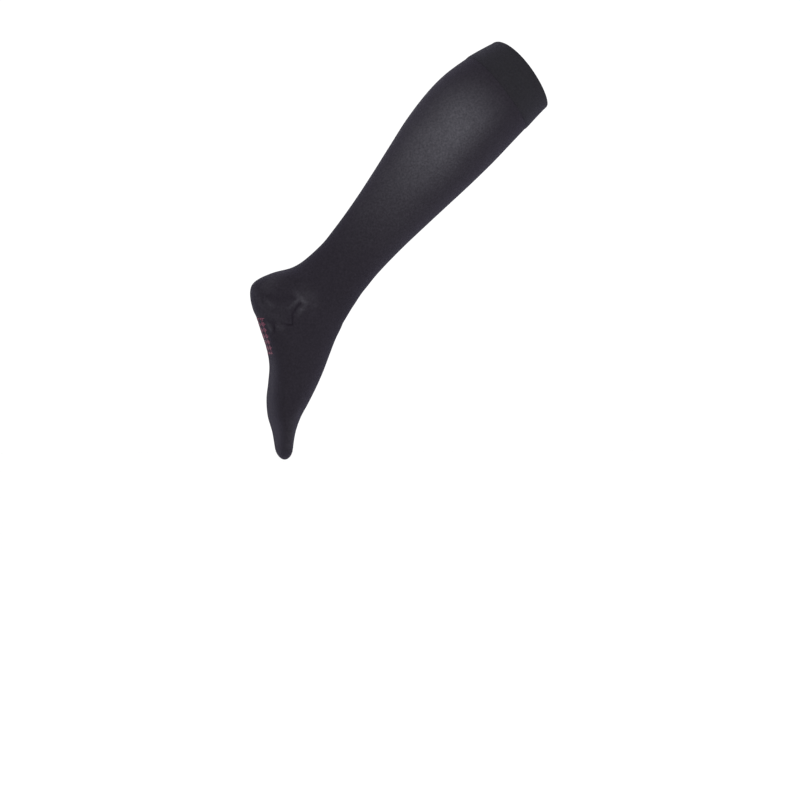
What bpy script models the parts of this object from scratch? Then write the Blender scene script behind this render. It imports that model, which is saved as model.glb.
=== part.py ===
"""Compression stocking, knee high, in the form it has when it is worn.

A hollow knitted tube: a doubled top band, three zones of leg, a heel pocket, a foot and a closed toe.
The origin is the centre of the mouth and +Z is up. The knee side is +X, the leg runs down towards -X, the
foot points down, and the two sides of the XZ plane are alike. Every zone is the same worn surface, cut at
its seams: a place on it is a run (the way down the centre line from the mouth) and a turn about that line.
"""

import bmesh
import bpy
from math import acos, copysign, cos, pi, radians, sin, sqrt
from mathutils import Vector

MM = 0.001

# The centre line: down the leg, round the ankle in one arc, then along the foot.
LEG_SLOPE = radians(44.35)
FOOT_SLOPE = radians(83.0)
ANKLE_START = 327 * MM
ANKLE_RADIUS = 120.7 * MM
ANKLE_END = ANKLE_START + ANKLE_RADIUS * (FOOT_SLOPE - LEG_SLOPE)
TOE_TIP = 579 * MM

# One row for each measured section of the worn stocking, from the mouth to the toe, in millimetres.
# back and front are the reaches from the centre line to the calf, heel or sole and to the shin or instep.
# full widens a section towards its back where it is above 0 and towards its front below 0, and square is
# 2 for an ellipse and more for a boxier section.
COLUMNS = ("run", "back", "front", "width", "full", "square")
SECTIONS = (
    # run   back  front  width  full  square
    (0.0, 47.6, 51.3, 97.0, 0.17, 2.0),
    (20.0, 53.7, 51.7, 101.2, 0.15, 2.0),
    (40.0, 58.6, 52.6, 106.5, 0.14, 2.0),
    (70.0, 62.7, 53.5, 109.0, 0.13, 2.0),
    (100.0, 62.1, 54.4, 108.0, 0.12, 2.0),
    (140.0, 56.6, 54.1, 101.5, 0.10, 2.0),
    (180.0, 47.6, 52.8, 91.0, 0.06, 2.0),
    (220.0, 38.3, 51.5, 79.5, 0.00, 2.0),
    (260.0, 29.9, 50.7, 69.5, -0.06, 2.0),
    (300.0, 23.3, 51.7, 62.5, -0.10, 2.0),
    (327.0, 20.5, 54.5, 60.5, -0.10, 2.1),
    (348.0, 23.8, 55.5, 62.0, -0.06, 2.2),
    (362.0, 32.7, 55.4, 63.0, 0.00, 2.3),
    (374.0, 50.8, 54.6, 63.0, 0.05, 2.4),
    (384.0, 64.7, 53.6, 62.5, 0.09, 2.4),
    (390.0, 68.4, 52.8, 62.0, 0.11, 2.4),
    (399.0, 65.6, 51.2, 62.0, 0.13, 2.4),
    (414.0, 55.4, 47.3, 62.5, 0.16, 2.4),
    (429.0, 47.6, 42.1, 63.5, 0.19, 2.6),
    (449.0, 37.5, 36.8, 66.0, 0.20, 2.9),
    (469.0, 31.0, 31.6, 71.0, 0.18, 3.1),
    (489.0, 29.4, 25.1, 77.5, 0.16, 3.1),
    (509.0, 28.8, 17.4, 82.5, 0.13, 3.0),
    (529.0, 24.7, 9.2, 82.6, 0.10, 2.9),
    (549.0, 16.6, 5.2, 76.6, 0.07, 2.8),
    (579.0, 10.4, 6.4, 72.6, 0.04, 2.6),
)

# The sole half of a section may be boxier than this, but its instep half stays rounder.
INSTEP_SQUARE = 2.3

# The mouth leans: its calf side rises above its shin side, and the lean dies away down the leg.
MOUTH_LEAN = radians(4.5)
LEAN_END = 100 * MM

# The toe's end closes in the sole's outline and, over a shorter way, in the side view.
TOE_ROUND_ACROSS = 46 * MM
TOE_ROUND_DEEP = 13 * MM

# Walls and seams.
LEG_WALL = 1.2 * MM
BAND_WALL = 2.0 * MM
BAND_PROUD = 0.9 * MM
HEEL_WALL = 1.5 * MM
TOE_WALL = 1.5 * MM
SEAM_GAP = 0.4 * MM

# Where the zones meet, as runs. The band is narrower at the back and wider at the front, by the share
# BAND_LEAN, and wider at both sides than at front and back, by BAND_BOW.
BAND_END = 41 * MM
BAND_LEAN, BAND_BOW = 0.05, 0.05
CALF_END = 142 * MM
SHIN_END = 244 * MM
HEEL_TOP_BACK, HEEL_TOP_FRONT = 384 * MM, 392 * MM
HEEL_BOTTOM_BACK, HEEL_BOTTOM_FRONT = 415.5 * MM, 418 * MM
TOE_SEAM = 526 * MM

# The heel pocket wraps the back as far as its front seams, HEEL_TURN either side of the back. The foot's
# tongue starts SEAM_TURN further round.
HEEL_TURN = radians(88)
SEAM_TURN = radians(0.8)

# How finely the surface is divided: points round a section, runs between rows, and rings of the toe.
SIDES = 40
LEG_STEP = 13 * MM
ANKLE_STEP = 8 * MM
HEEL_STEP = 4.5 * MM
FOOT_STEP = 10 * MM
TOE_RINGS = 8

KNIT = (0.026, 0.024, 0.030)
KNIT_DARK = (0.020, 0.019, 0.023)


def hermite(before, here, there, after, column, share):
    """The value of a column between two rows, on a smooth curve through the rows about it."""
    gap = there[0] - here[0]
    slope_here = (there[column] - before[column]) / (there[0] - before[0])
    slope_there = (after[column] - here[column]) / (after[0] - here[0])
    s, t = 1 - share, share
    ends = s * s * (1 + 2 * t) * here[column] + t * t * (1 + 2 * s) * there[column]
    return ends + gap * s * t * (s * slope_here - t * slope_there)


def section(run):
    """The worn section at a run, as a dictionary of its columns in metres."""
    place = min(max(run / MM, SECTIONS[0][0]), SECTIONS[-1][0])
    last = len(SECTIONS) - 2
    i = next((k for k in range(last + 1) if place <= SECTIONS[k + 1][0]), last)
    rows = [SECTIONS[min(max(k, 0), last + 1)] for k in (i - 1, i, i + 1, i + 2)]
    share = (place - rows[1][0]) / (rows[2][0] - rows[1][0])
    found = {name: hermite(*rows, column, share) for column, name in enumerate(COLUMNS)}
    for name in ("back", "front", "width"):
        found[name] *= MM
    return found


def towards_back(slope):
    """The direction from the centre line to the back of the leg, where the line runs down at slope."""
    return Vector((-sin(slope), 0, cos(slope)))


def centre_line(run):
    """The point of the centre line at a run, and the slope at which it runs down there."""
    leg_end = Vector((-cos(LEG_SLOPE), 0, -sin(LEG_SLOPE))) * min(run, ANKLE_START)
    if run <= ANKLE_START:
        return leg_end, LEG_SLOPE
    hinge = leg_end - towards_back(LEG_SLOPE) * ANKLE_RADIUS
    slope = min(LEG_SLOPE + (run - ANKLE_START) / ANKLE_RADIUS, FOOT_SLOPE)
    past = max(run - ANKLE_END, 0)
    return hinge + towards_back(slope) * ANKLE_RADIUS + Vector((-cos(slope), 0, -sin(slope))) * past, slope


def rounding(run, length):
    """How much of a section's size is left at a run, where the toe closes over its last length."""
    into = min(max((run - (TOE_TIP - length)) / length, 0), 1)
    return sqrt(1 - into * into)


def power(value, square):
    """A cosine or sine bent towards a squarer section."""
    return copysign(abs(value) ** (2 / square), value)


def worn_point(run, turn, lift=0.0):
    """The outside of the worn stocking at a run and a turn: 0 is the back, pi the front."""
    centre, slope = centre_line(run)
    size = section(run)
    lean = MOUTH_LEAN * max(1 - run / LEAN_END, 0) ** 2
    back = towards_back(slope - lean)
    middle = centre + back * (size["back"] - size["front"]) / 2
    deep = (size["back"] + size["front"]) / 2 * rounding(run, TOE_ROUND_DEEP) + lift
    across = size["width"] / 2 * rounding(run, TOE_ROUND_ACROSS) + lift
    square = size["square"] if cos(turn) > 0 else min(size["square"], INSTEP_SQUARE)
    along_back = power(cos(turn), square)
    sideways = power(sin(turn), square) * (1 + size["full"] * along_back)
    return middle + back * deep * along_back - Vector((0, across * sideways, 0))


def spread(start, end, step):
    """Runs from start to end, about a step apart, both ends included."""
    count = max(round((end - start) / step), 1)
    return [start + (end - start) * k / count for k in range(count + 1)]


def between(low, high, count, ends=True):
    """Evenly spaced turns from low to high, with or without the two ends."""
    turns = [low + (high - low) * k / count for k in range(count + 1)]
    return turns if ends else turns[1:-1]


ROUND = between(0, 2 * pi, SIDES)[:-1]


def level(run):
    """An edge that lies at one run all the way round."""
    return [run] * SIDES


def band_edge(turn):
    """The run of the band's lower edge."""
    return BAND_END * (1 - BAND_LEAN * cos(turn) - BAND_BOW * cos(2 * turn))


def heel_edge(turn, at_back, at_front):
    """The run of the heel pocket's top or bottom edge, which slants from the back to the front seams."""
    away = min(acos(min(max(cos(turn), -1), 1)) / HEEL_TURN, 1)
    return at_back + (at_front - at_back) * away * away


def heel_top(turn):
    return heel_edge(turn, HEEL_TOP_BACK, HEEL_TOP_FRONT)


def heel_bottom(turn):
    return heel_edge(turn, HEEL_BOTTOM_BACK, HEEL_BOTTOM_FRONT)


def grid_rows(turns, first, last, step):
    """Rows of (run, turn) about a step apart, from one edge to another: a run for each turn of both."""
    longest = max(b - a for a, b in zip(first, last))
    shares = spread(0, 1, step / longest)
    return [[(a + (b - a) * share, t) for a, b, t in zip(first, last, turns)] for share in shares]


def add_rows(mesh, rows, closed, lift=0.0, above=None):
    """Adds rows of points and the quads between them, facing outwards, going on from the row above."""
    previous = above
    for row in rows:
        points = [mesh.verts.new(worn_point(run, turn, lift)) for run, turn in row]
        if previous:
            count = len(points) if closed else len(points) - 1
            for k in range(count):
                n = (k + 1) % len(points)
                mesh.faces.new((previous[k], points[k], points[n], previous[n]))
        previous = points
    return previous


def knitted(name, mesh, wall, colour, roughness):
    """Makes a named object of an open surface, with a wall built inwards from it."""
    data = bpy.data.meshes.new(name)
    mesh.to_mesh(data)
    mesh.free()
    data.shade_smooth()
    data.set_sharp_from_angle(angle=radians(50))
    finish = bpy.data.materials.new(name)
    finish.use_nodes = True
    shader = finish.node_tree.nodes["Principled BSDF"]
    shader.inputs["Base Color"].default_value = (*colour, 1)
    shader.inputs["Roughness"].default_value = roughness
    shader.inputs["Metallic"].default_value = 0.0
    data.materials.append(finish)
    piece = bpy.data.objects.new(name, data)
    stocking.objects.link(piece)
    solid = piece.modifiers.new("wall", "SOLIDIFY")
    solid.thickness = wall
    solid.offset = -1
    solid.use_even_offset = True
    return piece


def tube(name, top, bottom, step=LEG_STEP, wall=LEG_WALL, colour=KNIT, lift=0.0):
    """A zone of the leg, open at both ends. Its top and bottom edges are a run for each turn of ROUND."""
    mesh = bmesh.new()
    add_rows(mesh, grid_rows(ROUND, top, bottom, step), closed=True, lift=lift)
    return knitted(name, mesh, wall, colour, 0.75)


def heel_pocket():
    """The pocket at the back of the heel, bounded by its top, its bottom and its two front seams."""
    mesh = bmesh.new()
    turns = between(-HEEL_TURN, HEEL_TURN, SIDES // 2)
    top = [heel_top(turn) + SEAM_GAP / 2 for turn in turns]
    bottom = [heel_bottom(turn) - SEAM_GAP / 2 for turn in turns]
    add_rows(mesh, grid_rows(turns, top, bottom, HEEL_STEP), closed=False)
    return knitted("heel_pocket", mesh, HEEL_WALL, KNIT_DARK, 0.8)


def foot():
    """The foot: a tongue of instep in front of the heel pocket, and the tube of the foot below both."""
    mesh = bmesh.new()
    front = between(HEEL_TURN + SEAM_TURN, 2 * pi - HEEL_TURN - SEAM_TURN, SIDES // 2)
    back = between(2 * pi - HEEL_TURN, 2 * pi + HEEL_TURN, SIDES // 2, ends=False)
    tongue_top = [HEEL_TOP_FRONT + SEAM_GAP / 2] * len(front)
    tongue = grid_rows(front, tongue_top, [HEEL_BOTTOM_FRONT] * len(front), FOOT_STEP)
    top_points = add_rows(mesh, tongue, closed=False)
    top_points += add_rows(mesh, [[(heel_bottom(turn) + SEAM_GAP / 2, turn) for turn in back]], closed=False)
    turns = front + back
    top = [HEEL_BOTTOM_FRONT] * len(front) + [heel_bottom(turn) + SEAM_GAP / 2 for turn in back]
    rows = grid_rows(turns, top, [TOE_SEAM - SEAM_GAP / 2] * len(turns), FOOT_STEP)
    add_rows(mesh, rows[1:], closed=True, above=top_points)
    return knitted("foot", mesh, LEG_WALL, KNIT, 0.75)


def toe_cap():
    """The closed toe: rings that draw together faster and faster, ended by one point."""
    mesh = bmesh.new()
    start = TOE_SEAM + SEAM_GAP / 2
    runs = [start + (TOE_TIP - start) * sin(pi / 2 * k / TOE_RINGS) for k in range(TOE_RINGS)]
    last = add_rows(mesh, [[(run, turn) for turn in ROUND] for run in runs], closed=True)
    tip = mesh.verts.new(worn_point(TOE_TIP, 0))
    for k, point in enumerate(last):
        mesh.faces.new((point, tip, last[(k + 1) % len(last)]))
    return knitted("toe_cap", mesh, TOE_WALL, KNIT_DARK, 0.8)


for old in list(bpy.data.objects):
    bpy.data.objects.remove(old)
stocking = bpy.data.collections.new("compression_stocking")
bpy.context.scene.collection.children.link(stocking)

band_bottom = [band_edge(turn) - SEAM_GAP / 2 for turn in ROUND]
calf_top = [band_edge(turn) + SEAM_GAP / 2 for turn in ROUND]
ankle_bottom = [heel_top(turn) - SEAM_GAP / 2 for turn in ROUND]
tube("top_band", level(0.0), band_bottom, wall=BAND_WALL, colour=KNIT_DARK, lift=BAND_PROUD)
tube("leg_calf", calf_top, level(CALF_END - SEAM_GAP / 2))
tube("leg_shin", level(CALF_END + SEAM_GAP / 2), level(SHIN_END - SEAM_GAP / 2))
tube("leg_ankle", level(SHIN_END + SEAM_GAP / 2), ankle_bottom, step=ANKLE_STEP)
heel_pocket()
foot()
toe_cap()
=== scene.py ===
# %% [markdown]
# # A compression stocking, worn
#
# A knee-high stocking is one long knitted tube. A round machine knits it in a single go: first a doubled
# band that grips below the knee, then the leg, a pocket for the heel, the foot, and at the end a toe that is
# closed with a row of linking stitches. This lesson dresses the plain solids of that stocking as cloth.
#
# The frame holds the solids at their real size. Every piece made here lies on them, in metres.

# %% Load the frame
from math import atan, copysign, cos, pi, radians, sin, sqrt

import bmesh
import bpy
import numpy as np
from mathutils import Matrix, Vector


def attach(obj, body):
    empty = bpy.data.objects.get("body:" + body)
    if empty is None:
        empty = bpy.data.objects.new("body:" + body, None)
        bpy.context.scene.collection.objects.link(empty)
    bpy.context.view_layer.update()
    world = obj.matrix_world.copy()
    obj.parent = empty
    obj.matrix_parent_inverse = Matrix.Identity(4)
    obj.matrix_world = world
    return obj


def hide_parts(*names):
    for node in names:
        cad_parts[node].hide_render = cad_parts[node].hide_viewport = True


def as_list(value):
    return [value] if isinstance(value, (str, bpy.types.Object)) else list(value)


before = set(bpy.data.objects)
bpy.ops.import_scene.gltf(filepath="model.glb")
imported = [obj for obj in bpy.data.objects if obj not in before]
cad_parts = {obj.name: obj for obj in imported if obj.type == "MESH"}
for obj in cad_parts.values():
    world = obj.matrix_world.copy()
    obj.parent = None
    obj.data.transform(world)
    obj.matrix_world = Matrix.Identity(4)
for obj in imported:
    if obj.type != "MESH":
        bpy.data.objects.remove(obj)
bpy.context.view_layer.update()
MM = 0.001
print("nodes:", ", ".join(sorted(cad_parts)))

# %% [markdown]
# ## The camera
#
# The camera comes first, because every later look at the stocking goes through it. It stands level with the
# middle of the calf, a little to the calf's side, far enough away that the tube's near side isn't swollen by
# perspective. A long lens does that: the field of view follows from the sensor's width and the focal length.

# %% Camera
CAMERA_TURN = radians(13.5)
CAMERA_PLACE = (-0.8537, -2.9317, -0.3982)
SENSOR_WIDTH, FOCAL_LENGTH = 36.0, 112.5
SIGHT_END = 100


def put(name, data):
    """An object with this data, placed in the scene."""
    thing = bpy.data.objects.new(name, data)
    bpy.context.scene.collection.objects.link(thing)
    return thing


lens = bpy.data.cameras.new("camera")
lens.sensor_width = SENSOR_WIDTH
lens.angle = 2 * atan(SENSOR_WIDTH / 2 / FOCAL_LENGTH)
lens.clip_end = SIGHT_END
camera = put("camera", lens)
camera.location = CAMERA_PLACE
camera.rotation_euler = (pi / 2, 0, -CAMERA_TURN)
bpy.context.scene.camera = camera
print(f"lens {lens.lens:.1f} mm")

# %% [markdown]
# ## The room
#
# Black cloth shows its form only by what it reflects, so the room is white all round: a white world gives
# the soft light that a tent of white paper would, and large area lights give it a direction. The floor is a
# wide white plane below the toe. The Standard view keeps white paper white.

# %% Floor, world and lights
FLOOR_HEIGHT = -0.875
FLOOR_SIZE = 40.0
PAPER_WHITE = (0.93, 0.93, 0.93, 1)
TENT_LIGHT = 1.08
CALF = Vector((-0.10, 0, -0.10))


def principled(name, **values):
    """A material whose Principled shader has these values, and the shader itself."""
    material = bpy.data.materials.new(name)
    material.use_nodes = True
    shader = material.node_tree.nodes["Principled BSDF"]
    for socket, value in values.items():
        shader.inputs[socket.replace("_", " ")].default_value = value
    return material, shader


def soft_light(name, place, size, power):
    """A square white area light at a place, turned towards the calf."""
    data = bpy.data.lights.new(name, "AREA")
    data.size = size
    data.energy = power
    light = put(name, data)
    light.location = place
    light.rotation_euler = (CALF - Vector(place)).to_track_quat("-Z", "Y").to_euler()


bpy.ops.mesh.primitive_plane_add(size=FLOOR_SIZE, location=(0, 0, FLOOR_HEIGHT))
floor = bpy.context.object
floor.name = "floor"
floor.data.materials.append(principled("white floor", Base_Color=PAPER_WHITE, Roughness=0.9)[0])

world = bpy.data.worlds.new("white tent")
world.use_nodes = True
tent = world.node_tree.nodes["Background"].inputs
tent["Color"].default_value = (1, 1, 1, 1)
tent["Strength"].default_value = TENT_LIGHT
bpy.context.scene.world = world
bpy.context.scene.view_settings.view_transform = "Standard"

soft_light("key", place=(0.35, -1.9, 0.15), size=0.9, power=12)
soft_light("back fill", place=(-0.4, 1.9, 0.4), size=1.2, power=9)

# %% [markdown]
# ## The form under the knit
#
# The stocking is a tube about one line: straight down the leg, round the ankle in an arc, straight along the
# foot. A place on it is a *run* (the way down that line) and a *turn* about it (0 at the calf, heel and sole,
# half a turn at the shin and instep). A short table gives the section at some runs, and a smooth curve fills
# in between its rows. Everything below asks this one function where the surface is, so all pieces meet.

# %% Sections of the worn stocking
LEG_SLOPE = radians(44.35)
FOOT_SLOPE = radians(83.0)
ANKLE_START = 327 * MM
ANKLE_RADIUS = 120.7 * MM
ANKLE_END = ANKLE_START + ANKLE_RADIUS * (FOOT_SLOPE - LEG_SLOPE)
TOE_TIP = 579 * MM

COLUMNS = ("run", "back", "front", "width", "full", "square")
SECTIONS = (
    # run   back  front  width  full  square
    (0.0, 47.6, 51.3, 97.0, 0.17, 2.0),
    (20.0, 53.7, 51.7, 101.2, 0.15, 2.0),
    (40.0, 58.6, 52.6, 106.5, 0.14, 2.0),
    (70.0, 62.7, 53.5, 109.0, 0.13, 2.0),
    (100.0, 62.1, 54.4, 108.0, 0.12, 2.0),
    (140.0, 56.6, 54.1, 101.5, 0.10, 2.0),
    (180.0, 47.6, 52.8, 91.0, 0.06, 2.0),
    (220.0, 38.3, 51.5, 79.5, 0.00, 2.0),
    (260.0, 29.9, 50.7, 69.5, -0.06, 2.0),
    (300.0, 23.3, 51.7, 62.5, -0.10, 2.0),
    (327.0, 20.5, 54.5, 60.5, -0.10, 2.1),
    (348.0, 23.8, 55.5, 62.0, -0.06, 2.2),
    (362.0, 32.7, 55.4, 63.0, 0.00, 2.3),
    (374.0, 50.8, 54.6, 63.0, 0.05, 2.4),
    (384.0, 64.7, 53.6, 62.5, 0.09, 2.4),
    (390.0, 68.4, 52.8, 62.0, 0.11, 2.4),
    (399.0, 65.6, 51.2, 62.0, 0.13, 2.4),
    (414.0, 55.4, 47.3, 62.5, 0.16, 2.4),
    (429.0, 47.6, 42.1, 63.5, 0.19, 2.6),
    (449.0, 37.5, 36.8, 66.0, 0.20, 2.9),
    (469.0, 31.0, 31.6, 71.0, 0.18, 3.1),
    (489.0, 29.4, 25.1, 77.5, 0.16, 3.1),
    (509.0, 28.8, 17.4, 82.5, 0.13, 3.0),
    (529.0, 24.7, 9.2, 82.6, 0.10, 2.9),
    (549.0, 16.6, 5.2, 76.6, 0.07, 2.8),
    (579.0, 10.4, 6.4, 72.6, 0.04, 2.6),
)
INSTEP_SQUARE = 2.3
MOUTH_LEAN = radians(4.5)
LEAN_END = 100 * MM
TOE_ROUND_ACROSS = 46 * MM
TOE_ROUND_DEEP = 13 * MM
MEASURED_AT = {"calf": 85 * MM, "ankle": 318 * MM, "foot": 480 * MM}


def hermite(before, here, there, after, column, share):
    """The value of a column between two rows, on a smooth curve through the rows about it."""
    gap = there[0] - here[0]
    slope_here = (there[column] - before[column]) / (there[0] - before[0])
    slope_there = (after[column] - here[column]) / (after[0] - here[0])
    s, t = 1 - share, share
    ends = s * s * (1 + 2 * t) * here[column] + t * t * (1 + 2 * s) * there[column]
    return ends + gap * s * t * (s * slope_here - t * slope_there)


def section(run):
    """The worn section at a run, as a dictionary of its columns in metres."""
    place = min(max(run / MM, SECTIONS[0][0]), SECTIONS[-1][0])
    last = len(SECTIONS) - 2
    i = next((k for k in range(last + 1) if place <= SECTIONS[k + 1][0]), last)
    rows = [SECTIONS[min(max(k, 0), last + 1)] for k in (i - 1, i, i + 1, i + 2)]
    share = (place - rows[1][0]) / (rows[2][0] - rows[1][0])
    found = {name: hermite(*rows, column, share) for column, name in enumerate(COLUMNS)}
    for name in ("back", "front", "width"):
        found[name] *= MM
    return found


print("calf section:", {name: round(value, 4) for name, value in section(MEASURED_AT["calf"]).items()})

# %% [markdown]
# The section is an ellipse on the leg. On the foot its sole half is squarer, so the sole is flat with clear
# edges, and its instep half stays round. `worn_ring` gives the points of one section for many turns at once.
# It works on whole arrays, because a fine cloth has tens of thousands of points.

# %% Points of the worn surface
GIRTH_TURNS = np.linspace(0, 2 * pi, 181)  # two degrees apart


def towards_back(slope):
    """The direction from the centre line to the back of the leg, where the line runs down at slope."""
    return np.array((-sin(slope), 0, cos(slope)))


def onwards(slope):
    """The direction of the centre line, where it runs down at slope."""
    return np.array((-cos(slope), 0, -sin(slope)))


def centre_line(run):
    """The point of the centre line at a run, and the slope at which it runs down there."""
    leg_end = onwards(LEG_SLOPE) * min(run, ANKLE_START)
    if run <= ANKLE_START:
        return leg_end, LEG_SLOPE
    hinge = leg_end - towards_back(LEG_SLOPE) * ANKLE_RADIUS
    slope = min(LEG_SLOPE + (run - ANKLE_START) / ANKLE_RADIUS, FOOT_SLOPE)
    past = max(run - ANKLE_END, 0)
    return hinge + towards_back(slope) * ANKLE_RADIUS + onwards(slope) * past, slope


def rounding(run, length):
    """How much of a section's size is left at a run, where the toe closes over its last length."""
    into = min(max((run - (TOE_TIP - length)) / length, 0), 1)
    return sqrt(1 - into * into)


def power(values, squares):
    """Cosines or sines bent towards a squarer section."""
    return np.copysign(np.abs(values) ** (2 / squares), values)


def worn_ring(run, turns):
    """The outside of the worn stocking at a run, one point for each turn."""
    centre, slope = centre_line(run)
    size = section(run)
    lean = MOUTH_LEAN * max(1 - run / LEAN_END, 0) ** 2
    back = towards_back(slope - lean)
    middle = centre + back * (size["back"] - size["front"]) / 2
    deep = (size["back"] + size["front"]) / 2 * rounding(run, TOE_ROUND_DEEP)
    across = size["width"] / 2 * rounding(run, TOE_ROUND_ACROSS)
    squares = np.where(np.cos(turns) > 0, size["square"], min(size["square"], INSTEP_SQUARE))
    along_back = power(np.cos(turns), squares)
    sideways = power(np.sin(turns), squares) * (1 + size["full"] * along_back)
    points = middle + np.outer(deep * along_back, back)
    points[:, 1] -= across * sideways
    return points


def worn_point(run, turn):
    """One point of the worn stocking's outside."""
    return worn_ring(run, np.array([turn]))[0]


def steps_round(run, turns):
    """The distances from each turn to the next on the section at a run."""
    return np.linalg.norm(np.diff(worn_ring(run, turns), axis=0), axis=1)


def girth(run):
    """The way round the stocking at a run."""
    return float(steps_round(run, GIRTH_TURNS).sum())


print("girths in metres:", {name: round(girth(run), 3) for name, run in MEASURED_AT.items()})

# %% [markdown]
# ## Where the zones meet
#
# The heel pocket is knitted to and fro, so it has edges of its own inside the round tube: one across the
# back, one under the heel, and a short slanted seam on each side where the two meet the instep. The band is
# pulled down a little at both sides and sits higher at the calf, so its lower edge isn't level.

# %% Edges of the zones
BAND_END = 41 * MM
BAND_LEAN, BAND_BOW = 0.05, 0.05
TOE_SEAM = 526 * MM
HEEL_TURN = radians(88)
HEEL_FOOT_TURN = radians(77)
HEEL_TOP_BACK, HEEL_TOP_FRONT = 384 * MM, 393 * MM
HEEL_BOTTOM_BACK, HEEL_BOTTOM_FRONT = 416.5 * MM, 419.5 * MM
HEEL_FADE_END = 480 * MM


def eased(share):
    """0 to 1 with a soft start and a soft end."""
    share = min(max(share, 0), 1)
    return share * share * (3 - 2 * share)


def band_edge(turn):
    """The run of the band's lower edge."""
    return BAND_END * (1 - BAND_LEAN * cos(turn) - BAND_BOW * cos(2 * turn))


def heel_edge(column, at_back, at_front):
    """The run of the pocket's top or bottom edge in a column of the knit."""
    away = min(abs(column) / HEEL_TURN, 1)
    return at_back + (at_front - at_back) * away * away


def heel_top(column):
    return heel_edge(column, HEEL_TOP_BACK, HEEL_TOP_FRONT)


def heel_bottom(column):
    return heel_edge(column, HEEL_BOTTOM_BACK, HEEL_BOTTOM_FRONT)


def drawn_turn(column, run):
    """Where a column of the knit really lies: beside the pocket the columns are drawn towards the sole."""
    towards_sole = eased((run - HEEL_TOP_FRONT) / (HEEL_BOTTOM_FRONT - HEEL_TOP_FRONT))
    back_again = eased((run - HEEL_BOTTOM_FRONT) / (HEEL_FADE_END - HEEL_BOTTOM_FRONT))
    shift = (HEEL_FOOT_TURN - HEEL_TURN) * (towards_sole - back_again)
    size = abs(column)
    share = size / HEEL_TURN if size <= HEEL_TURN else (pi - size) / (pi - HEEL_TURN)
    return copysign(size + shift * share, column)


print(f"band: {band_edge(0) / MM:.1f} mm at the back, {band_edge(pi / 2) / MM:.1f} mm at the side")
print(f"heel pocket: {(heel_bottom(0) - heel_top(0)) / MM:.1f} mm at the back")

# %% [markdown]
# ## Creases and strained places
#
# Knitted cloth under tension lies smooth, but round the heel pocket it gathers: short ridges and troughs
# run out of the corner where pocket, leg and foot meet. Each is placed as a line of (run, turn) points.
# `width` is how far its soft edge reaches, `height` is above 0 for a ridge and below 0 for a trough, and
# `open` makes the knit lighter (above 0) or darker (below 0) there. That is partly the knit pulled open or
# bunched, and partly painted light: a painted highlight along a fold and painted shade in a furrow or hollow.
# A real fold swells and dies away, so `along` gives its strength at even steps from its first point to its
# last. The far side of the stocking gets the same lines, a little stronger or weaker, because no two sides
# gather alike.

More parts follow.
